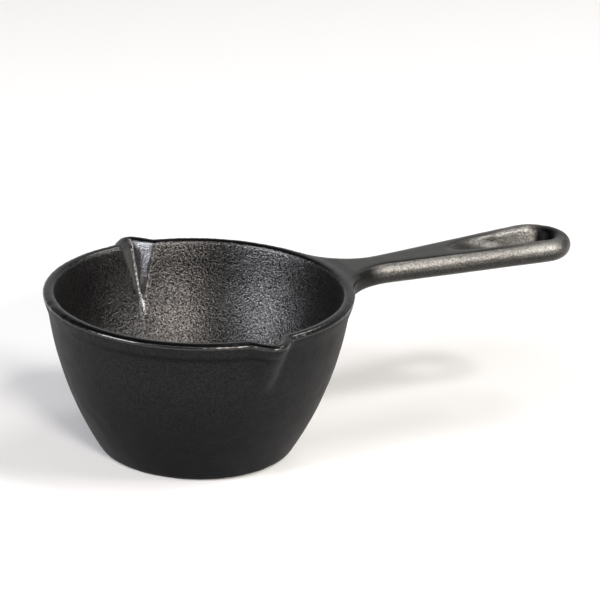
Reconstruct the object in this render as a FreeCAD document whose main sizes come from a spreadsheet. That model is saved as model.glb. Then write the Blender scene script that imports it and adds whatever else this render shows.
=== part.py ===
import FreeCAD, Part

import os
from math import atan2, copysign, sqrt

import Sketcher

# Cast iron melting pot with two pouring lips and a flat slotted handle, cast as one piece.
# Millimetres. The origin is on the pot's axis at its foot, +Z is up and +X runs along the handle.

document = FreeCAD.newDocument("melting_pot")


# Driving sizes

SIZES = {
    # The cup
    "cup_height": 64.8,
    "foot_radius": 38.0,
    "foot_rounding": 2.8,
    "wall_bow": 145.0,
    "wall_thickness": 3.7,
    "floor_thickness": 5.0,
    "floor_rounding": 9.0,
    # The rim and the band under it
    "rim_radius": 61.0,
    "rim_width": 4.8,
    "rim_chamfer": 0.9,
    "band_height": 6.7,
    "band_flare": 1.85,
    "band_step": 0.4,
    # The two pouring lips
    "lip_projection": 3.3,
    "lip_half_angle": 42.0,
    "lip_groove_slant": 27.0,
    "lip_nose_slant": 28.5,
    "lip_nose_radius": 5.6,
    "lip_crease_radius": 0.8,
    "lip_wall": 4.7,
    "lip_drop": 38.0,
    "lip_band_height": 5.2,
    # The handle
    "handle_reach": 171.2,
    "handle_thickness": 8.8,
    "handle_drop": 0.25,
    "handle_rise": 0.7,
    "handle_end_width": 30.9,
    "handle_edge_radius": 4.2,
    "root_top_radius": 0.6,
    "root_under_radius": 3.6,
    "neck_width": 16.4,
    "neck_distance": 21.6,
    "flare_radius": 26.0,
    "flare_sweep": 65.0,
    # The slot in the handle, at its top and at its bottom, and the scoop that leads into it
    "end_rail": 6.4,
    "top_end_radius": 8.0,
    "top_start_radius": 7.0,
    "top_length": 15.0,
    "bottom_end_radius": 5.0,
    "bottom_start_radius": 4.8,
    "bottom_length": 11.0,
    "scoop_radius": 6.1,
    "scoop_length": 28.8,
    "scoop_angle": 16.0,
    # How far hidden ends run on, into the metal or past a face that they cut
    "root_depth": 9.6,
    "overcut": 2.0,
}

sheet = document.addObject("Spreadsheet::Sheet", "sizes")
for row, (alias, size) in enumerate(SIZES.items(), start=1):
    sheet.set(f"A{row}", alias)
    sheet.set(f"B{row}", str(size))
    sheet.setAlias(f"B{row}", alias)
document.recompute()


def number(expression):
    """The value of an expression of the sizes, as a plain number."""
    value = sheet.evalExpression(expression)
    return float(getattr(value, "Value", value))


# Helpers for sketches and features

UP = FreeCAD.Vector(0, 0, 1)
TOUCH = 0.01


def origin_plane(body, role):
    """One of a body's own origin planes, by its role."""
    return next(item for item in body.Origin.OriginFeatures if item.Role == role)


def place(item, body, role, start, axis, angle):
    """Attaches an item to an origin plane of its body, moved and turned by expressions."""
    item.AttachmentSupport = [(origin_plane(body, role), "")]
    item.MapMode = "FlatFace"
    base = FreeCAD.Vector(*[number(expression) for expression in start])
    item.AttachmentOffset = FreeCAD.Placement(base, FreeCAD.Rotation(axis, number(angle)))
    item.setExpression(".AttachmentOffset.Rotation.Angle", angle)
    for letter, expression in zip("xyz", start):
        item.setExpression(f".AttachmentOffset.Base.{letter}", expression)


def new_sketch(body, name, role, start=("0", "0", "0"), axis=UP, angle="0"):
    """A sketch on an origin plane, moved along the plane's own axes and turned."""
    sketch = body.newObject("Sketcher::SketchObject", name)
    place(sketch, body, role, start, axis, angle)
    return sketch


def fix_point(sketch, edge, end, point):
    """Ties one end of an edge to the sketch's origin by two expressions."""
    for kind, expression in zip(("DistanceX", "DistanceY"), point):
        rule = Sketcher.Constraint(kind, -1, 1, edge, end, number(expression))
        index = sketch.addConstraint(rule)
        sketch.setExpression(f"Constraints[{index}]", expression)


def arc_between(start, end, radius):
    """The shorter arc between two points, running anticlockwise. It bulges to the right of the
    way from start to end where the radius is positive, and to the left where it is negative."""
    chord = end - start
    left = FreeCAD.Vector(-chord.y, chord.x, 0).normalize()
    reach = sqrt(radius ** 2 - (chord.Length / 2) ** 2)
    centre = (start + end) / 2 + left * copysign(reach, radius)
    first, last = (start, end) if radius > 0 else (end, start)
    angles = [atan2(point.y - centre.y, point.x - centre.x) for point in (first, last)]
    return Part.ArcOfCircle(Part.Circle(centre, UP, abs(radius)), *angles)


def closed_outline(sketch, corners, arcs):
    """Draws a closed outline. A corner is a pair of expressions. The side that starts at a corner
    is straight, or an arc where arcs gives its radius by the corner's number. The radius is
    positive where the arc bulges to the right of the way round, and else has a minus sign."""
    first_end, last_end = 1, 2
    points = [FreeCAD.Vector(number(across), number(along), 0) for across, along in corners]
    count = len(points)
    ends = []
    for corner, start in enumerate(points):
        end = points[(corner + 1) % count]
        if corner in arcs:
            radius = number(arcs[corner])
            sketch.addGeometry(arc_between(start, end, radius))
            ends.append((first_end, last_end) if radius > 0 else (last_end, first_end))
        else:
            sketch.addGeometry(Part.LineSegment(start, end))
            ends.append((first_end, last_end))
    for corner in range(count):
        after = (corner + 1) % count
        meeting = Sketcher.Constraint("Coincident", corner, ends[corner][1], after, ends[after][0])
        sketch.addConstraint(meeting)
        fix_point(sketch, corner, ends[corner][0], corners[corner])
    for corner, radius in arcs.items():
        index = sketch.addConstraint(Sketcher.Constraint("Radius", corner, abs(number(radius))))
        sketch.setExpression(f"Constraints[{index}]", f"abs({radius})")
    document.recompute()


def feature(body, kind, name, **settings):
    """A new feature of a body with its settings."""
    made = body.newObject(f"PartDesign::{kind}", name)
    for setting, value in settings.items():
        setattr(made, setting, value)
    document.recompute()
    return made


def mirrored(body, name, originals):
    """The same features again on the other side of the plane through the handle."""
    plane = (origin_plane(body, "XZ_Plane"), [""])
    made = feature(body, "Mirrored", name, Originals=originals, MirrorPlane=plane)
    body.Tip = made
    document.recompute()
    return made


# The wall's bow: the same centre for the outside and for the cavity

BAND_FOOT = "(sizes.cup_height - sizes.band_height)"
BAND_RADIUS = "(sizes.rim_radius - sizes.band_flare)"
WALL_TOP = f"({BAND_RADIUS} - sizes.band_step)"
WALL_SPREAD = f"({WALL_TOP} - sizes.foot_radius)"
WALL_CHORD = f"sqrt({WALL_SPREAD} ^ 2 + {BAND_FOOT} ^ 2)"
WALL_SETBACK = f"(sqrt(sizes.wall_bow ^ 2 - ({WALL_CHORD} / 2) ^ 2) / {WALL_CHORD})"
WALL_CENTRE_R = f"(({WALL_TOP} + sizes.foot_radius) / 2 - {WALL_SETBACK} * {BAND_FOOT})"
WALL_CENTRE_Z = f"({BAND_FOOT} / 2 + {WALL_SETBACK} * {WALL_SPREAD})"
CAVITY_BOW = "(sizes.wall_bow - sizes.wall_thickness)"


def wall_radius(bow, height):
    """How far from the axis the wall is at a height, on the side that has this bow."""
    return f"({WALL_CENTRE_R} + sqrt({bow} ^ 2 - ({height} - {WALL_CENTRE_Z}) ^ 2))"


def rounded_corner(bow, floor, radius):
    """The two points where a rounding between a level floor and the bowed wall starts and ends."""
    centre_r = wall_radius(f"({bow} - {radius})", f"({floor} + {radius})")
    ratio = f"({bow} / ({bow} - {radius}))"
    return [
        (centre_r, floor),
        (
            f"{WALL_CENTRE_R} + ({centre_r} - {WALL_CENTRE_R}) * {ratio}",
            f"{WALL_CENTRE_Z} + ({floor} + {radius} - {WALL_CENTRE_Z}) * {ratio}",
        ),
    ]


# The cup's outside: a bowed wall under a flaring rim band, revolved, still solid inside

cup_blank = document.addObject("PartDesign::Body", "cup_blank")
cup_section = new_sketch(cup_blank, "cup_section", "XZ_Plane")
closed_outline(
    cup_section,
    [
        ("0", "0"),
        *rounded_corner("sizes.wall_bow", "0", "sizes.foot_rounding"),
        (WALL_TOP, BAND_FOOT),
        (BAND_RADIUS, BAND_FOOT),
        ("sizes.rim_radius", "sizes.cup_height - sizes.rim_chamfer"),
        ("sizes.rim_radius - sizes.rim_chamfer", "sizes.cup_height"),
        ("0", "sizes.cup_height"),
    ],
    {1: "sizes.foot_rounding", 2: "sizes.wall_bow"},
)
feature(cup_blank, "Revolution", "cup", Profile=cup_section, ReferenceAxis=(cup_section, ["V_Axis"]))


# The pouring lips: slanted wedges with a round nose, one side made and the other mirrored. The
# band runs on round each lip, a step proud of the lip's wall, with the rim's chamfer on top.

LIP_SINE = "sin(sizes.lip_half_angle)"
LIP_REACH = "(sizes.rim_radius + sizes.lip_projection)"
LIP_FOOT = "(sizes.cup_height - sizes.lip_drop)"
LIP_BAND_FOOT = "(sizes.cup_height - sizes.lip_band_height)"
CHAMFER_FOOT = "(sizes.cup_height - sizes.rim_chamfer)"
OUTER_APEX = f"({LIP_REACH} + sizes.lip_wall / {LIP_SINE})"
WEDGE_BACK = f"({LIP_REACH} / 2)"


def wedge_outline(body, name, height, apex, nose, inset):
    """A wedge at a height, drawn inside its full size by an inset. Its sides meet at the apex on
    the Y axis, which a round nose cuts off, and its back is halfway out to the lip."""
    sketch = new_sketch(body, name, "XY_Plane", ("0", "0", height))
    point = f"({apex} - {inset} / {LIP_SINE})"
    half_back = f"(({point} - {WEDGE_BACK}) * tan(sizes.lip_half_angle))"
    tangent = f"({apex} - {nose} / {LIP_SINE} + ({nose} - {inset}) * {LIP_SINE})"
    half_nose = f"(({nose} - {inset}) * cos(sizes.lip_half_angle))"
    closed_outline(
        sketch,
        [
            (f"-{half_back}", WEDGE_BACK),
            (half_back, WEDGE_BACK),
            (half_nose, tangent),
            (f"-{half_nose}", tangent),
        ],
        {2: f"({nose} - {inset})"},
    )
    return sketch


def wedge(body, kind, name, apex, slant, nose, levels):
    """A wedge that leans by its slant. The apex is given at the rim's top, and each of its levels
    is a height with the inset there."""
    outlines = [
        wedge_outline(
            body,
            f"{name}_{at}",
            height,
            f"({apex} - (sizes.cup_height - {height}) * tan({slant}))",
            nose,
            inset,
        )
        for at, (height, inset) in enumerate(levels)
    ]
    return feature(body, kind, name, Profile=outlines[0], Sections=outlines[1:], Ruled=True)


OUTSIDE = (OUTER_APEX, "sizes.lip_nose_slant", "sizes.lip_nose_radius")
wall_levels = [(CHAMFER_FOOT, "sizes.band_step"), (LIP_FOOT, "sizes.band_step")]
band_levels = [("sizes.cup_height", "sizes.rim_chamfer"), (CHAMFER_FOOT, "0"), (LIP_BAND_FOOT, "0")]
lip_wall = wedge(cup_blank, "AdditiveLoft", "lip_wall", *OUTSIDE, wall_levels)
lip_band = wedge(cup_blank, "AdditiveLoft", "lip_band", *OUTSIDE, band_levels)
mirrored(cup_blank, "lips", [lip_wall, lip_band])


# Half of the handle: a flat bar that rises a little, with a flared neck and a round end. Its edges
# are rounded into a bullnose, and the top one fades to a sharp edge where the neck meets the rim.

HANDLE_START = "(sizes.rim_radius - sizes.rim_width / 2)"
HANDLE_TOP = "(sizes.cup_height - sizes.handle_drop)"
END_RADIUS = "(sizes.handle_end_width / 2)"
END_CENTRE = f"(sizes.handle_reach - {END_RADIUS} - {HANDLE_START})"
NECK = "(sizes.neck_distance + sizes.rim_width / 2)"
NECK_HALF = "(sizes.neck_width / 2)"
NECK_SPAN = f"sqrt(({END_CENTRE} - {NECK}) ^ 2 + {NECK_HALF} ^ 2)"
TAPER = f"(asin({END_RADIUS} / {NECK_SPAN}) - atan({NECK_HALF} / ({END_CENTRE} - {NECK})))"
FLARE_END = (
    f"{NECK} - sizes.flare_radius * (sin({TAPER}) + sin(sizes.flare_sweep))",
    f"{NECK_HALF} + sizes.flare_radius * (cos({TAPER}) - cos(sizes.flare_sweep))",
)


def handle_plane(depth):
    """Where a sketch goes that lies in the handle at a depth under its rising top."""
    return {
        "start": (
            f"{HANDLE_START} + {depth} * sin(sizes.handle_rise)",
            "0",
            f"{HANDLE_TOP} - {depth} * cos(sizes.handle_rise)",
        ),
        "axis": FreeCAD.Vector(0, -1, 0),
        "angle": "sizes.handle_rise",
    }


half_bar = document.addObject("PartDesign::Body", "half_bar")
bar_outline = new_sketch(half_bar, "bar_outline", "XY_Plane", **handle_plane("0"))
closed_outline(
    bar_outline,
    [
        ("-sizes.root_depth", "0"),
        (f"{END_CENTRE} + {END_RADIUS}", "0"),
        (f"{END_CENTRE} - {END_RADIUS} * sin({TAPER})", f"{END_RADIUS} * cos({TAPER})"),
        (NECK, NECK_HALF),
        FLARE_END,
        ("-sizes.root_depth", FLARE_END[1]),
    ],
    {1: END_RADIUS, 3: "-sizes.flare_radius"},
)
bar = feature(half_bar, "Pad", "bar", Profile=bar_outline, Reversed=True)
bar.setExpression("Length", "sizes.handle_thickness")
document.recompute()


def edge_radii(edge):
    """The rounding of a long edge of the half bar at the end nearer the tip and at the other end,
    or None for an edge that stays as it is."""
    full = number("sizes.handle_edge_radius")
    neck_x = number(f"{HANDLE_START} + {NECK} * cos(sizes.handle_rise)") - TOUCH
    ends = [edge.valueAt(edge.FirstParameter).x, edge.valueAt(edge.LastParameter).x]
    upright = edge.BoundBox.ZLength > number("sizes.handle_thickness") / 2
    if upright or max(ends) < neck_x or edge.BoundBox.YMax < TOUCH:
        return None
    on_top = edge.BoundBox.ZMin > number(f"{HANDLE_TOP} - sizes.handle_thickness / 2")
    root = "sizes.root_top_radius" if on_top else "sizes.root_under_radius"
    return [full, number(root) if min(ends) < neck_x else full]


half_handle = document.addObject("Part::Fillet", "half_handle")
half_handle.Base = half_bar
radii = {at: edge_radii(edge) for at, edge in enumerate(half_bar.Shape.Edges, start=1)}
half_handle.Edges = [(at, *pair) for at, pair in radii.items() if pair]
other_half = document.addObject("Part::Mirroring", "other_half")
other_half.Source = half_handle
other_half.Normal = FreeCAD.Vector(0, 1, 0)


# The casting, still solid: the cup and both halves of the handle in one

casting_blank = document.addObject("Part::MultiFuse", "casting_blank")
casting_blank.Shapes = [cup_blank, half_handle, other_half]
casting_blank.Refine = True
document.recompute()

pot = document.addObject("PartDesign::Body", "melting_pot")
pot.Label = "melting_pot"
pot.BaseFeature = casting_blank
document.recompute()


# The cavity, with a round corner at the floor

RIM_INNER = "(sizes.rim_radius - sizes.rim_width)"
OVER_RIM = "(sizes.cup_height + sizes.overcut)"
cavity_section = new_sketch(pot, "cavity_section", "XZ_Plane")
closed_outline(
    cavity_section,
    [
        ("0", "sizes.floor_thickness"),
        *rounded_corner(CAVITY_BOW, "sizes.floor_thickness", "sizes.floor_rounding"),
        (wall_radius(CAVITY_BOW, BAND_FOOT), BAND_FOOT),
        (RIM_INNER, "sizes.cup_height"),
        (RIM_INNER, OVER_RIM),
        ("0", OVER_RIM),
    ],
    {1: "sizes.floor_rounding", 2: CAVITY_BOW},
)
feature(pot, "Groove", "cavity", Profile=cavity_section, ReferenceAxis=(cavity_section, ["V_Axis"]))


# The pouring grooves, cut through the wall into both lips

INSIDE = (LIP_REACH, "sizes.lip_groove_slant", "sizes.lip_crease_radius")
groove = wedge(pot, "SubtractiveLoft", "groove", *INSIDE, [(OVER_RIM, "0"), (LIP_FOOT, "0")])
mirrored(pot, "grooves", [groove])


# The slot through the handle. Its walls lean in, so it is longer and wider at the top.

SLOT_CENTRE = f"(sizes.handle_reach - sizes.end_rail - sizes.top_end_radius - {HANDLE_START})"


def slot_outline(name, depth):
    """The outline of the slot at a depth under the handle's top: two unlike circles and the two
    straight lines that touch both."""
    share = f"({depth} / sizes.handle_thickness)"
    wide, narrow, length = [
        f"(sizes.top_{part} + (sizes.bottom_{part} - sizes.top_{part}) * {share})"
        for part in ("end_radius", "start_radius", "length")
    ]
    sine = f"(({wide} - {narrow}) / {length})"
    cosine = f"sqrt(1 - {sine} ^ 2)"
    start_centre = f"({SLOT_CENTRE} - {length})"
    wide_side = (f"{SLOT_CENTRE} - {wide} * {sine}", f"{wide} * {cosine}")
    narrow_side = (f"{start_centre} - {narrow} * {sine}", f"{narrow} * {cosine}")
    sketch = new_sketch(pot, name, "XY_Plane", **handle_plane(depth))
    closed_outline(
        sketch,
        [
            (narrow_side[0], f"-{narrow_side[1]}"),
            (wide_side[0], f"-{wide_side[1]}"),
            (f"{SLOT_CENTRE} + {wide}", "0"),
            wide_side,
            narrow_side,
            (f"{start_centre} - {narrow}", "0"),
        ],
        {1: wide, 2: wide, 4: narrow, 5: narrow},
    )
    return sketch


above = slot_outline("slot_above", "(-sizes.overcut)")
below = slot_outline("slot_below", "(sizes.handle_thickness + sizes.overcut)")
feature(pot, "SubtractiveLoft", "slot", Profile=above, Sections=[below], Ruled=True)


# The scoop: a slanted round groove in the handle's top that ramps down into the slot

SCOOP = "sizes.scoop_radius"
SCOOP_START = f"({SLOT_CENTRE} - sizes.top_length - sizes.scoop_length)"
TILT = "(sizes.scoop_angle - sizes.handle_rise)"
QUARTER_TURN = "90"
scoop = pot.newObject("PartDesign::SubtractiveCylinder", "scoop")
place(
    scoop,
    pot,
    "XY_Plane",
    (
        f"{HANDLE_START} + {SCOOP_START} * cos(sizes.handle_rise)"
        f" + {SCOOP} * (sin({TILT}) - cos({TILT}))",
        "0",
        f"{HANDLE_TOP} + {SCOOP_START} * sin(sizes.handle_rise)"
        f" + {SCOOP} * (cos({TILT}) + sin({TILT}))",
    ),
    FreeCAD.Vector(0, 1, 0),
    f"{QUARTER_TURN} + {TILT}",
)
scoop.setExpression("Radius", SCOOP)
scoop.setExpression("Height", f"{SCOOP} + sizes.handle_thickness / sin(sizes.scoop_angle)")
document.recompute()


# Everything is checked before the part is written

for item in document.Objects:
    if "Invalid" in item.State or "Error" in item.State:
        raise RuntimeError(f"{item.Name} has failed: {item.State}")
if pot.Shape.isNull() or not pot.Shape.isValid():
    raise RuntimeError("melting_pot has no valid shape")
os.makedirs("parts", exist_ok=True)
pot.Shape.exportStep(f"parts/{pot.Label}.step")
print(pot.Label, len(pot.Shape.Solids), round(pot.Shape.Volume), pot.Shape.BoundBox)
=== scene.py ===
# %% [markdown]
# # A cast iron melting pot
# The real pot is one iron casting: a bowed cup with a banded rim, two V-shaped pouring lips and a
# flat handle with a slot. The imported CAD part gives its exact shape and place. This file dresses
# it: first the frame and the camera, then the casting's surface, its iron, and the studio.

# %% The frame
import bmesh
import bpy
from math import cos, radians, sin
from mathutils import Matrix, Vector, noise


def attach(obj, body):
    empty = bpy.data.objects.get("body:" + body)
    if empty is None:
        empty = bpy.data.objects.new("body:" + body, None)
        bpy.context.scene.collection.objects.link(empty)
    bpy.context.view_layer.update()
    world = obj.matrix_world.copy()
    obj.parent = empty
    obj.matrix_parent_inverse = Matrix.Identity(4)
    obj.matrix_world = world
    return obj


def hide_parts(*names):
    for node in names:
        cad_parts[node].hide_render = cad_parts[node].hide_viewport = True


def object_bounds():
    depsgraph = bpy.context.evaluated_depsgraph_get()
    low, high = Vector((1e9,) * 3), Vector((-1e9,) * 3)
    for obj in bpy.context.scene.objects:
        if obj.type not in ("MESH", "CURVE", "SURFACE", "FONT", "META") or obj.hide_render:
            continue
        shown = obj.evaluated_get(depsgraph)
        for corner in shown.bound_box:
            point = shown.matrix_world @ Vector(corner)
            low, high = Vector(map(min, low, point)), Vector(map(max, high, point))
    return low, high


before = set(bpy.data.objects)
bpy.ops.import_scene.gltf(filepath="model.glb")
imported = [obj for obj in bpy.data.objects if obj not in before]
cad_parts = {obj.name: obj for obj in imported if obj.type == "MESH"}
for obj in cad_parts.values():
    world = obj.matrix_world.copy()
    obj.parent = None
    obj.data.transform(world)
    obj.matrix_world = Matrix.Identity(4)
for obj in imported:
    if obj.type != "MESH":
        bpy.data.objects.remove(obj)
cad_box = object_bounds()
cad_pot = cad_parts["melting_pot"]
MM = 0.001
print("CAD box", cad_box, "faces", len(cad_pot.data.polygons))

# %% [markdown]
# ## The camera
# The photograph looks down into the cup from the front left, through a long lens that keeps the
# ellipses of the rim nearly level. The camera is placed by angles round a point in the cup, so
# each number has a meaning of its own: turn, height, tilt of the horizon, and distance.

# %% Camera
VIEW_TURN = radians(-29.33)
VIEW_HEIGHT = radians(20.67)
HORIZON_TILT = radians(1.95)
VIEW_DISTANCE = 971.5 * MM
VIEW_TARGET = Vector((34.2, -19.2, 61.2)) * MM
SENSOR_WIDTH = 36
LENS = 150
NEAREST = 10 * MM

camera_turn = (
    Matrix.Rotation(VIEW_TURN, 4, "Z")
    @ Matrix.Rotation(radians(90) - VIEW_HEIGHT, 4, "X")
    @ Matrix.Rotation(HORIZON_TILT, 4, "Z")
)
camera_place = VIEW_TARGET + camera_turn.to_3x3() @ Vector((0, 0, VIEW_DISTANCE))
camera = bpy.data.objects.new("camera", bpy.data.cameras.new("camera"))
bpy.context.scene.collection.objects.link(camera)
camera.data.sensor_width = SENSOR_WIDTH
camera.data.lens = LENS
camera.data.clip_start = NEAREST
camera.matrix_world = Matrix.Translation(camera_place) @ camera_turn
bpy.context.scene.camera = camera
print("camera at", [round(c, 4) for c in camera_place])

# %% [markdown]
# ## The casting's skin
# A CAD solid has knife edges and dead flat faces. Sand can't hold such an edge, so every corner of
# the real casting is round by half a millimetre or more. A bevel modifier would stumble over the
# long CAD triangles. A voxel remesh of a merged copy turns the whole pot into one even net of
# small quads instead, and smoothing that net rounds all edges alike, as sand does. The net is as
# fine as it can be with the whole pot under 200,000 triangles.

# %% Copy and merge
NET = 0.93 * MM
MERGE = NET / 100
SMOOTH_ROUNDS = 3

casting_mesh = cad_pot.data.copy()
casting_mesh.name = "casting"
casting = bpy.data.objects.new("casting", casting_mesh)
bpy.context.scene.collection.objects.link(casting)
shell = bmesh.new()
shell.from_mesh(casting_mesh)
bmesh.ops.remove_doubles(shell, verts=shell.verts, dist=MERGE)
shell.to_mesh(casting_mesh)
shell.free()
print("merged copy", len(casting_mesh.vertices), "vertices")

# %% Remesh
remesh = casting.modifiers.new("net", "REMESH")
remesh.mode = "VOXEL"
remesh.voxel_size = NET
remesh.adaptivity = 0
evaluated = casting.evaluated_get(bpy.context.evaluated_depsgraph_get())
net_mesh = bpy.data.meshes.new_from_object(evaluated)
casting.modifiers.clear()
net = bmesh.new()
net.from_mesh(net_mesh)
print("net", len(net.faces), "quads")

# %% [markdown]
# ## The pouring grooves
# Each lip has a V groove that a file has followed down the wall until it runs out in a point. The
# cut could be a boolean, but on this fine net it is enough to push the wall back: every vertex in
# front of the V is moved outwards onto it, so both flanks are flat and meet in a straight crease.

# %% Deepen the grooves
CUP_HEIGHT = 64.8 * MM
CREASE_REACH = 64.3 * MM
CREASE_SLOPE = 0.464
FLANK_SLOPE = 1.11
GROOVE_HALF_WIDTH = 14 * MM
GROOVE_FOOT = 30 * MM


def groove_reach(point):
    """How far out from the axis the V of a groove lies, at the height and side of a point."""
    return CREASE_REACH - (CUP_HEIGHT - point.z) * CREASE_SLOPE - abs(point.x) * FLANK_SLOPE


pushed = 0
for vert in net.verts:
    near_groove = vert.co.z > GROOVE_FOOT and abs(vert.co.x) < GROOVE_HALF_WIDTH
    if near_groove and abs(vert.co.y) < groove_reach(vert.co):
        vert.co.y = groove_reach(vert.co) * (1 if vert.co.y > 0 else -1)
        pushed += 1
print("pushed back", pushed, "vertices")


# %% Smooth the edges
def smooth(verts, rounds):
    """Rounds the edges of the net a little more with each round."""
    for _ in range(rounds):
        bmesh.ops.smooth_vert(
            net, verts=verts, factor=0.5, use_axis_x=True, use_axis_y=True, use_axis_z=True,
        )


smooth(net.verts, SMOOTH_ROUNDS)
print("smoothed", len(net.verts), "vertices")

# %% [markdown]
# ## The rim's outer edge
# The outer edge of the rim is rounder than the inner one: it is knocked and wiped far more often.
# Its roundness shows as a black line and a white line side by side along the front of the rim.
# A few more rounds of the same smoothing, on that edge alone, give it.

# %% Round the rim's outer edge
RIM_EDGE_RADIUS = 59.4 * MM
RIM_EDGE_UNDER = 61.8 * MM
RIM_EDGE_TO = 52 * MM
RIM_EDGE_ROUNDS = 4

rim_edge = [
    vert for vert in net.verts
    if vert.co.z > RIM_EDGE_UNDER and vert.co.xy.length > RIM_EDGE_RADIUS and vert.co.x < RIM_EDGE_TO
]
smooth(rim_edge, RIM_EDGE_ROUNDS)
print("rim edge", len(rim_edge), "vertices")

# %% [markdown]
# ## The worn end of the slot
# On the real handle the slot's top edge is much rounder at the outer end, where the pot hangs on
# its hook and where the core for the slot leaves the sand. More rounds of smoothing on those few
# vertices alone give that soft throat, and leave the crisp edge along the slot's sides. Each round
# starts a little further out, so the smoothed patch has no visible border.

# %% Round the slot's end
SLOT_END_FROM = 155 * MM
SLOT_END_TO = 166.5 * MM
SLOT_END_HALF_WIDTH = 9.5 * MM
SLOT_END_UNDER = 61.5 * MM
SLOT_END_ROUNDS = 8
SLOT_END_STEP = 0.6 * MM

for step in range(SLOT_END_ROUNDS):
    throat = [
        vert for vert in net.verts
        if SLOT_END_FROM + step * SLOT_END_STEP < vert.co.x < SLOT_END_TO
        and abs(vert.co.y) < SLOT_END_HALF_WIDTH and vert.co.z > SLOT_END_UNDER
    ]
    smooth(throat, 1)
print("throat, last round", len(throat), "vertices")

# %% [markdown]
# ## The parting line
# The handle lies in both halves of the sand mould, and where they meet the iron creeps into the
# gap: a fine raised line runs round the handle at half its thickness. Three straight cuts along
# the parting plane give the net a row of vertices exactly there, and that row is drawn outwards.
# A line in the material alone would not break the outline of the handle. The cuts take a vertex
# that is very near for their own, because slivers beside it would glint.

# %% Cut along the parting plane
PARTING_HEIGHT = 60.15 * MM
PARTING_FROM = 63 * MM
PARTING_RISE = radians(0.7)
RIDGE_HALF_WIDTH = 0.6 * MM
RIDGE_START = 74 * MM
STRIP_HALF_WIDTH = 2 * NET
CUT_SNAP = 0.12 * MM

parting_point = Vector((PARTING_FROM, 0, PARTING_HEIGHT))
parting_up = Vector((-sin(PARTING_RISE), 0, cos(PARTING_RISE)))


def over_parting(point):
    """Height over the parting plane."""
    return (point - parting_point).dot(parting_up)


for shift in (-RIDGE_HALF_WIDTH, 0, RIDGE_HALF_WIDTH):
    strip = []
    for face in net.faces:
        middle = face.calc_center_median()
        if middle.x > RIDGE_START and abs(over_parting(middle)) < STRIP_HALF_WIDTH:
            strip.append(face)
    strip_edges = {edge for face in strip for edge in face.edges}
    strip_verts = {vert for face in strip for vert in face.verts}
    bmesh.ops.bisect_plane(
        net, geom=strip + list(strip_edges) + list(strip_verts), dist=CUT_SNAP,
        plane_co=parting_point + parting_up * shift, plane_no=parting_up,
    )
print("net after the cuts", len(net.faces), "faces")

# %% Raise the parting line
RIDGE_HEIGHT = 0.05 * MM
RIDGE_FULL = 90 * MM
SLOT_REACH, SLOT_HALF_WIDTH = 166 * MM, 10 * MM

net.normal_update()
ridge = [
    vert for vert in net.verts
    if vert.co.x > RIDGE_START and abs(over_parting(vert.co)) < CUT_SNAP
    and (vert.co.x > SLOT_REACH or abs(vert.co.y) > SLOT_HALF_WIDTH)
]
for vert in ridge:
    grown = min((vert.co.x - RIDGE_START) / (RIDGE_FULL - RIDGE_START), 1)
    vert.co += vert.normal * RIDGE_HEIGHT * grown
    vert.co.x = min(vert.co.x, cad_box[1][0])
print("parting line", len(ridge), "vertices")

# %% [markdown]
# ## The uneven skin
# No cast wall is a perfect sheet: rammed sand leaves soft hollows a few millimetres across, which
# make every highlight waver. A smooth noise sinks each vertex by up to a tenth of a millimetre.
# The skin only sinks, so the pot stays inside the size of its CAD part.

# %% Sink the skin
HOLLOW_WIDTH = 6 * MM
HOLLOW_DEPTH = 0.1 * MM

net.normal_update()
for vert in net.verts:
    share = noise.noise(vert.co / HOLLOW_WIDTH) / 2 + 0.5
    vert.co -= vert.normal * HOLLOW_DEPTH * share
for face in net.faces:
    face.smooth = True
net.to_mesh(casting_mesh)
net.free()
print("skin", len(casting_mesh.polygons), "faces")

# %% [markdown]
# ## The iron
# The pot is sand-cast grey iron, blacked with oil that is baked on. That black coat is thin, so
# the iron's own sand grain shows through as thousands of tiny sparkling bumps. The grain is a fine
# noise in a bump: its pits are too many to model one by one. Foundry sand leaves pits of 0.2 to
# 0.4 mm, which the picture can't resolve, so they are drawn about twice as coarse. The iron is a
# bare metal to the shader, with a dark colour: that keeps it black where it mirrors the dark
# ceiling, and bright where it mirrors a lamp.

# %% Two helpers for materials
def linear(hex_colour):
    """An sRGB hex colour as linear red, green, blue and alpha."""
    values = [int(hex_colour[i:i + 2], 16) / 255 for i in (1, 3, 5)]
    return [v / 12.92 if v <= 0.04045 else ((v + 0.055) / 1.055) ** 2.4 for v in values] + [1]


def add(tree, kind, settings=None, links=None):
    """Adds a node, sets its properties and inputs, and links its inputs to other sockets."""
    node = tree.nodes.new(kind)
    for name, value in (settings or {}).items():
        if isinstance(name, int) or name in node.inputs:
            node.inputs[name].default_value = value
        else:
            setattr(node, name, value)
    for name, source in (links or {}).items():
        tree.links.new(source, node.inputs[name])
    return node


# %% [markdown]
# ## Painted shade on the outside
# The outside is painted darker towards the foot, as painted shade. A soft dark line of painted shade
# runs in the corner under the rim band. Both could be painted on the mesh, but the height of a point
# is all that they depend on, so two ranges of that height are enough.

# %% Painted shade by height
FOOT_SHADE_FADES_AT = 45 * MM
BAND_CORNER = 58.2 * MM
CORNER_LINE = (0.2 * MM, 1.6 * MM)
CORNER_IRON_SHARE = 0.35


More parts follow.
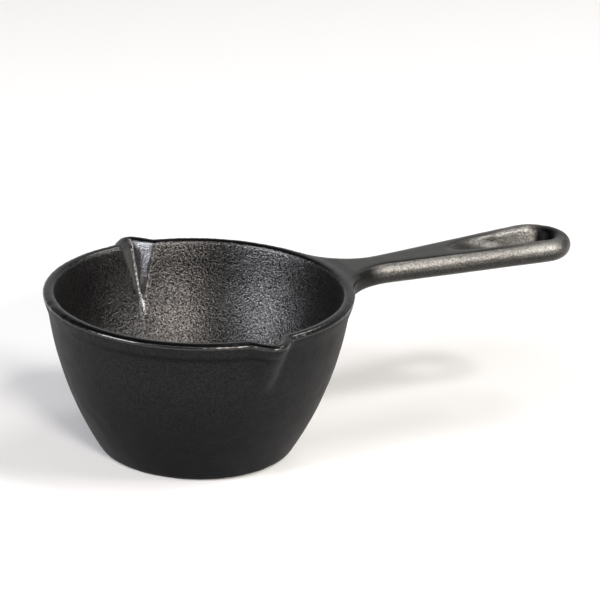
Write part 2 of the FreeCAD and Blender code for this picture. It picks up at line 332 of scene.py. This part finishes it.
def painted_shade_by_height(tree, along, iron_colour, shade_colour):
    """Darkens the iron towards the foot and in the corner under the rim band: painted shade."""
    climb = add(tree, "ShaderNodeMapRange", {"From Min": 0.0, "From Max": FOOT_SHADE_FADES_AT},
                {"Value": along.outputs["Z"]})
    from_corner = add(tree, "ShaderNodeMath", {"operation": "SUBTRACT", 1: BAND_CORNER},
                      {0: along.outputs["Z"]})
    distance = add(tree, "ShaderNodeMath", {"operation": "ABSOLUTE"}, {0: from_corner.outputs["Value"]})
    corner = add(tree, "ShaderNodeMapRange",
                 {"From Min": CORNER_LINE[0], "From Max": CORNER_LINE[1], "To Min": CORNER_IRON_SHARE},
                 {"Value": distance.outputs["Value"]})
    unshaded_share = add(tree, "ShaderNodeMath", {"operation": "MULTIPLY"},
               {0: climb.outputs["Result"], 1: corner.outputs["Result"]})
    shaded = add(tree, "ShaderNodeMix", {"data_type": "RGBA", 6: linear(shade_colour)},
                  {0: unshaded_share.outputs["Value"], 7: iron_colour})
    return shaded.outputs[2]


# %% [markdown]
# ## Wear and painted shade on the handle
# Hands rub the handle's upper edges bare, and the grain shines there. The underside and the outer end
# keep their black coat, and there it also stands in for shade: painted shade. The slot's end gets a
# darker painted shade, and the shallow start of the scoop keeps its black coat, where no finger
# presses. The flat top is dressed smooth near the neck, and its grain comes in towards the slot. All
# of it follows from where a point lies and which way it looks, so it is worked out in the material,
# from Object coordinates and the surface's normal.

# %% Where hands rub, and where shade is painted
LOOKS_UP = (-0.08, 0.38)
OUTER_END = (168 * MM, 156 * MM)
EDGE_FROM_MIDDLE = (8 * MM, 9.5 * MM)
EDGE_RUBBED = 0.6
BEFORE_SCOOP = (120 * MM, 110 * MM)
BEFORE_SCOOP_RUBBED = 0.75
SCOOP = (123 * MM, 149 * MM)
SCOOP_START_RUBBED = 0.05


def rubbed_and_lit_share(tree, along, facing):
    """How much of the black coat hands have rubbed off, from 0 to 1, held low on the underside and the
    outer end as painted shade.
    """
    # Faces that look down keep the coat's colour: painted shade.
    upward = add(tree, "ShaderNodeMapRange", {"From Min": LOOKS_UP[0], "From Max": LOOKS_UP[1]},
                 {"Value": facing.outputs["Z"]})
    # The outer end keeps the coat's colour too: painted shade.
    inboard = add(tree, "ShaderNodeMapRange",
                  {"From Min": OUTER_END[0], "From Max": OUTER_END[1], "To Min": 0.0},
                  {"Value": along.outputs["X"]})
    from_middle = add(tree, "ShaderNodeMath", {"operation": "ABSOLUTE"}, {0: along.outputs["Y"]})
    edge = add(tree, "ShaderNodeMapRange",
               {"From Min": EDGE_FROM_MIDDLE[0], "From Max": EDGE_FROM_MIDDLE[1], "To Max": EDGE_RUBBED},
               {"Value": from_middle.outputs["Value"]})
    before = add(tree, "ShaderNodeMapRange",
                 {"From Min": BEFORE_SCOOP[0], "From Max": BEFORE_SCOOP[1], "To Max": BEFORE_SCOOP_RUBBED},
                 {"Value": along.outputs["X"]})
    scooped = add(tree, "ShaderNodeMapRange",
                  {"From Min": SCOOP[0], "From Max": SCOOP[1], "To Min": SCOOP_START_RUBBED},
                  {"Value": along.outputs["X"]})
    inner = add(tree, "ShaderNodeMath", {"operation": "MAXIMUM"},
                {0: before.outputs["Result"], 1: scooped.outputs["Result"]})
    reached = add(tree, "ShaderNodeMath", {"operation": "MAXIMUM"},
                  {0: edge.outputs["Result"], 1: inner.outputs["Value"]})
    free = add(tree, "ShaderNodeMath", {"operation": "MULTIPLY"},
               {0: inboard.outputs["Result"], 1: reached.outputs["Value"]})
    rubbed_and_lit = add(tree, "ShaderNodeMath", {"operation": "MULTIPLY"},
                 {0: upward.outputs["Result"], 1: free.outputs["Value"]})
    return rubbed_and_lit.outputs["Value"]


# %% The handle's coat and its painted shade
COAT_THIN = 0.16
LOOKS_BACK = (-0.65, -0.05)
SLOT_END_SHADE = "#0e0d0d"


def coated_and_shaded(tree, along, facing, bare_colour, coat):
    """The handle's black coat over bare iron, with painted shade on the underside and outer end, and a
    darker painted shade on the slot's end, which looks back.
    """
    black = add(tree, "ShaderNodeMix", {"data_type": "RGBA", 0: COAT_THIN, 6: linear(coat)},
                {7: bare_colour})
    bare_and_lit = add(tree, "ShaderNodeMix", {"data_type": "RGBA"},
               {0: rubbed_and_lit_share(tree, along, facing), 6: black.outputs[2], 7: bare_colour})
    # Faces that look back, on the slot's end, get a near-black painted shade.
    slot_end_shade = add(tree, "ShaderNodeMapRange", {"From Min": LOOKS_BACK[0], "From Max": LOOKS_BACK[1]},
                   {"Value": facing.outputs["X"]})
    throat_shade = add(tree, "ShaderNodeMix", {"data_type": "RGBA", 6: linear(SLOT_END_SHADE)},
                       {0: slot_end_shade.outputs["Result"], 7: bare_and_lit.outputs[2]})
    return throat_shade.outputs[2]


# %% The dressed top
TOP_GRAIN = (128 * MM, 148 * MM)
TOP_FLAT = (0.985, 0.93)
GRAIN_BEGINS = (72 * MM, 81 * MM)
NECK = (66 * MM, 84 * MM)
NECK_ROUGHNESS = (0.55, 0.33)
TOP_ROUGHNESS = 0.26


def worn_and_shaded_handle(tree, along, facing, bare_colour, coat, neck):
    """Colour, strength of the grain and roughness of the handle, from the dressed neck outwards."""
    outward = add(tree, "ShaderNodeMapRange", {"From Min": TOP_GRAIN[0], "From Max": TOP_GRAIN[1]},
                  {"Value": along.outputs["X"]})
    side = add(tree, "ShaderNodeMapRange", {"From Min": TOP_FLAT[0], "From Max": TOP_FLAT[1]},
               {"Value": facing.outputs["Z"]})
    beyond = add(tree, "ShaderNodeMapRange", {"From Min": GRAIN_BEGINS[0], "From Max": GRAIN_BEGINS[1]},
                 {"Value": along.outputs["X"]})
    grown = add(tree, "ShaderNodeMath", {"operation": "MAXIMUM"},
                {0: outward.outputs["Result"], 1: side.outputs["Result"]})
    strength = add(tree, "ShaderNodeMath", {"operation": "MULTIPLY"},
                   {0: grown.outputs["Value"], 1: beyond.outputs["Result"]})
    root = add(tree, "ShaderNodeMix", {"data_type": "RGBA", 6: linear(neck), 7: linear(coat)},
               {0: side.outputs["Result"]})
    colour = add(tree, "ShaderNodeMix", {"data_type": "RGBA"},
                 {0: strength.outputs["Value"], 6: root.outputs[2],
                  7: coated_and_shaded(tree, along, facing, bare_colour, coat)})
    # The neck's sides are as dull as the cup's outside. The dressed top is as smooth as the rim.
    polish = add(tree, "ShaderNodeMapRange",
                 {"From Min": NECK[0], "From Max": NECK[1],
                  "To Min": NECK_ROUGHNESS[0], "To Max": NECK_ROUGHNESS[1]},
                 {"Value": along.outputs["X"]})
    roughness = add(tree, "ShaderNodeMix", {"data_type": "FLOAT", 2: TOP_ROUGHNESS},
                    {0: grown.outputs["Value"], 3: polish.outputs["Result"]})
    return colour.outputs[2], strength.outputs["Value"], roughness.outputs[0]


# %% [markdown]
# ## Five finishes of one iron
# Cup, rim, grooves and handle are the same iron, finished in five ways. One function makes them
# all: the grain's noise gives the bump and the tint, dark in a pit and lighter on a peak, and a
# coarser noise lets the gloss wander, because oil never bakes evenly.

# %% Cast iron
MOTTLE_MM = 7
MOTTLE_SPREAD = (0.3, 0.7)
PIT_AT, PEAK_AT = 0.36, 0.64


def cast_iron(name, pit, peak, grain_mm, depth_mm, gloss=None, foot=None, coat=None, neck=None):
    """Cast iron with a sand grain, a gloss that wanders, and painted shade on its foot, or wear and
    painted shade on a handle.
    """
    material = bpy.data.materials.new(name)
    material.use_nodes = True
    tree = material.node_tree
    tree.nodes.clear()
    place = add(tree, "ShaderNodeTexCoord")
    point = {"Vector": place.outputs["Object"]}
    along = add(tree, "ShaderNodeSeparateXYZ", links=point)
    grain = add(tree, "ShaderNodeTexNoise",
                {"Scale": 1 / (grain_mm * MM), "Detail": 2.0, "Roughness": 0.6}, point)
    tint = add(tree, "ShaderNodeValToRGB", links={"Fac": grain.outputs["Fac"]})
    for stop, position, colour in zip(tint.color_ramp.elements, (PIT_AT, PEAK_AT), (pit, peak)):
        stop.position = position
        stop.color = linear(colour)
    bump = add(tree, "ShaderNodeBump", {"Strength": 1.0, "Distance": depth_mm * MM},
               {"Height": grain.outputs["Fac"]})
    iron_colour = tint.outputs["Color"]
    if foot:
        iron_colour = painted_shade_by_height(tree, along, iron_colour, foot)
    if coat:
        facing = add(tree, "ShaderNodeSeparateXYZ", links={"Vector": place.outputs["Normal"]})
        iron_colour, strength, roughness = worn_and_shaded_handle(tree, along, facing, iron_colour, coat, neck)
        tree.links.new(strength, bump.inputs["Strength"])
    else:
        mottle = add(tree, "ShaderNodeTexNoise", {"Scale": 1 / (MOTTLE_MM * MM), "Detail": 3.0}, point)
        wander = add(tree, "ShaderNodeMapRange",
                     {"From Min": MOTTLE_SPREAD[0], "From Max": MOTTLE_SPREAD[1],
                      "To Min": gloss[0], "To Max": gloss[1]},
                     {"Value": mottle.outputs["Fac"]})
        roughness = wander.outputs["Result"]
    iron = add(tree, "ShaderNodeBsdfPrincipled", {"Metallic": 1.0},
               {"Base Color": iron_colour, "Roughness": roughness, "Normal": bump.outputs["Normal"]})
    add(tree, "ShaderNodeOutputMaterial", links={"Surface": iron.outputs["BSDF"]})
    print(name, len(tree.nodes), "nodes")
    return material


# %% The finishes
# Thick baked oil over fine sand: satin and nearly black, with hardly any sparkle.
# Darker towards the foot and in the corner under the rim band: painted shade.
outside = cast_iron("seasoned_cast_iron_outside", "#1f1f20", "#2b2b2b", 0.8, 0.1,
                    gloss=(0.54, 0.6), foot="#141415")
# A thin film of oil over coarse core sand: every peak glints where a lamp is mirrored.
inside = cast_iron("seasoned_cast_iron_inside", "#212121", "#595858", 0.75, 0.27, gloss=(0.3, 0.35))
# Filed after casting and oiled once: lighter and flatter than the wall round it.
groove = cast_iron("filed_cast_iron_groove", "#464647", "#6c6c6d", 0.7, 0.15, gloss=(0.3, 0.34))
# Ground level on a stone: a smooth grey that mirrors the horizon.
rim = cast_iron("dressed_cast_iron_rim", "#393939", "#404040", 0.8, 0.03, gloss=(0.22, 0.27))
# Rubbed bare by hands: warm grey iron with a strong grain, black where no hand reaches, and painted shade
# on its underside, outer end and slot's end.
handle = cast_iron("bare_cast_iron_handle", "#5e5c5a", "#8f8d88", 0.75, 0.25,
                   coat="#232221", neck="#504f4d")

# %% [markdown]
# ## Where each finish lies
# The cup keeps its black coat inside and out. The rim is dressed on a stone after casting, and the
# handle is rubbed bare by hands, so both are lighter and greyer. Each face of the skin takes its
# finish from where it lies and which way it looks. The borders run along real edges of the
# casting, where such finishes change on the real pot too.

# %% Finish by face
OUTSIDE, INSIDE, RIM, HANDLE, GROOVE = range(5)
INSIDE_RADIUS = 62 * MM
FLOOR_UNDER = 4 * MM
HANDLE_FROM = 66 * MM
RIM_UNDER = 62.8 * MM
ON_GROOVE = 0.5 * MM
LEVEL = 0.8

casting_mesh.materials.clear()
for material in (outside, inside, rim, handle, groove):
    casting_mesh.materials.append(material)
for face in casting_mesh.polygons:
    centre, normal = face.center, face.normal
    radius = Vector((centre.x, centre.y, 0))
    looks_in = normal.dot(radius) < 0 and normal.z < LEVEL
    near_groove = centre.z > GROOVE_FOOT and abs(centre.x) < GROOVE_HALF_WIDTH
    if looks_in and near_groove and abs(abs(centre.y) - groove_reach(centre)) < ON_GROOVE:
        face.material_index = GROOVE
    elif looks_in and radius.length < INSIDE_RADIUS and centre.z > FLOOR_UNDER:
        face.material_index = INSIDE
    elif centre.x > HANDLE_FROM:
        face.material_index = HANDLE
    elif centre.z > RIM_UNDER:
        face.material_index = RIM
for finish, material in enumerate(casting_mesh.materials):
    print(material.name, sum(face.material_index == finish for face in casting_mesh.polygons), "faces")

# %% Ride on the frame
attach(casting, "root")
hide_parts("melting_pot")

# %% [markdown]
# ## The studio
# The photograph is a catalogue picture: white paper under the pot, a white room to the horizon and
# a dark ceiling. The bright horizon greys the flat rim and handle, and the dark ceiling draws the
# black line along the rim's outer edge. Lamps stand where the highlights ask for them: three on
# the right for the handle, a long high one in front for the white line on the rim, and a warm one
# near the camera and a cool one on the left for the two bands inside the cup.

# %% Floor
FLOOR_HALF_WIDTH = 6

floor_mesh = bpy.data.meshes.new("floor")
floor_shape = bmesh.new()
bmesh.ops.create_grid(floor_shape, x_segments=1, y_segments=1, size=FLOOR_HALF_WIDTH)
floor_shape.to_mesh(floor_mesh)
floor_shape.free()
floor = bpy.data.objects.new("floor", floor_mesh)
bpy.context.scene.collection.objects.link(floor)
# Matt studio paper: it shows soft shadows and no mirror image of the pot.
paper = bpy.data.materials.new("paper")
paper.use_nodes = True
paper.node_tree.nodes["Principled BSDF"].inputs["Base Color"].default_value = linear("#dedede")
paper.node_tree.nodes["Principled BSDF"].inputs["Roughness"].default_value = 0.9
floor_mesh.materials.append(paper)

# %% Lamps
LAMP_DISTANCE = 2.4


def soft_light(name, turn, height, size, power, colour):
    """A softbox that looks at the pot from a turn and a height in degrees."""
    light = bpy.data.lights.new(name, "AREA")
    light.shape = "RECTANGLE"
    light.size, light.size_y = size
    light.energy = power
    light.color = linear(colour)[:3]
    lamp = bpy.data.objects.new(name, light)
    bpy.context.scene.collection.objects.link(lamp)
    turned = Matrix.Rotation(radians(turn), 4, "Z") @ Matrix.Rotation(radians(90 - height), 4, "X")
    lamp_place = VIEW_TARGET + turned.to_3x3() @ Vector((0, 0, LAMP_DISTANCE))
    lamp.matrix_world = Matrix.Translation(lamp_place) @ turned
    print(name, [round(c, 2) for c in lamp_place], power, "W")


soft_light("key_right", 48, 55, (0.5, 0.5), 26, "#fffdfa")
soft_light("fill_right", 44, 31, (0.5, 0.6), 28, "#fffdfa")
soft_light("edge_right", 116, 54, (0.7, 0.6), 13, "#fffdfa")
soft_light("front_high", -45, 47, (1.5, 0.3), 8, "#ffffff")
soft_light("front_warm", -6, 24, (0.5, 0.6), 54, "#fff6ee")
soft_light("left_cool", -87, 22, (1.1, 0.7), 68, "#f9f9ff")

# %% [markdown]
# ## The room
# The room is a world whose strength falls with height, from a bright horizon to a dark ceiling,
# and is brightest in the direction that the flat rim mirrors towards the camera. A picture of a
# studio could do the same, but two ranges keep the file free of images.

# %% The room
GLOW_FADES = (0.7, 0.35)
BACKDROP_SIDE = (0.6, 0.8, 0)
BACKDROP_SPREAD = (0.1, 0.8)
BACKDROP_GLOW = (0.1, 0.58)
CEILING_GLOW = 0.06

world = bpy.data.worlds.new("studio")
world.use_nodes = True
room = world.node_tree
background = room.nodes["Background"]
background.inputs["Color"].default_value = linear("#ffffff")
direction = add(room, "ShaderNodeTexCoord")
height = add(room, "ShaderNodeSeparateXYZ", links={"Vector": direction.outputs["Generated"]})
low = add(room, "ShaderNodeMapRange", {"From Min": GLOW_FADES[0], "From Max": GLOW_FADES[1]},
          {"Value": height.outputs["Z"]})
behind = add(room, "ShaderNodeVectorMath", {"operation": "DOT_PRODUCT", 1: BACKDROP_SIDE},
             {0: direction.outputs["Generated"]})
backdrop = add(room, "ShaderNodeMapRange",
               {"From Min": BACKDROP_SPREAD[0], "From Max": BACKDROP_SPREAD[1],
                "To Min": BACKDROP_GLOW[0], "To Max": BACKDROP_GLOW[1]},
               {"Value": behind.outputs["Value"]})
shine = add(room, "ShaderNodeMath", {"operation": "MULTIPLY"},
            {0: low.outputs["Result"], 1: backdrop.outputs["Result"]})
ceiling = add(room, "ShaderNodeMath", {"operation": "MAXIMUM", 1: CEILING_GLOW},
              {0: shine.outputs["Value"]})
room.links.new(ceiling.outputs["Value"], background.inputs["Strength"])
bpy.context.scene.world = world
bpy.context.scene.view_settings.view_transform = "Standard"
print("room", len(room.nodes), "nodes")
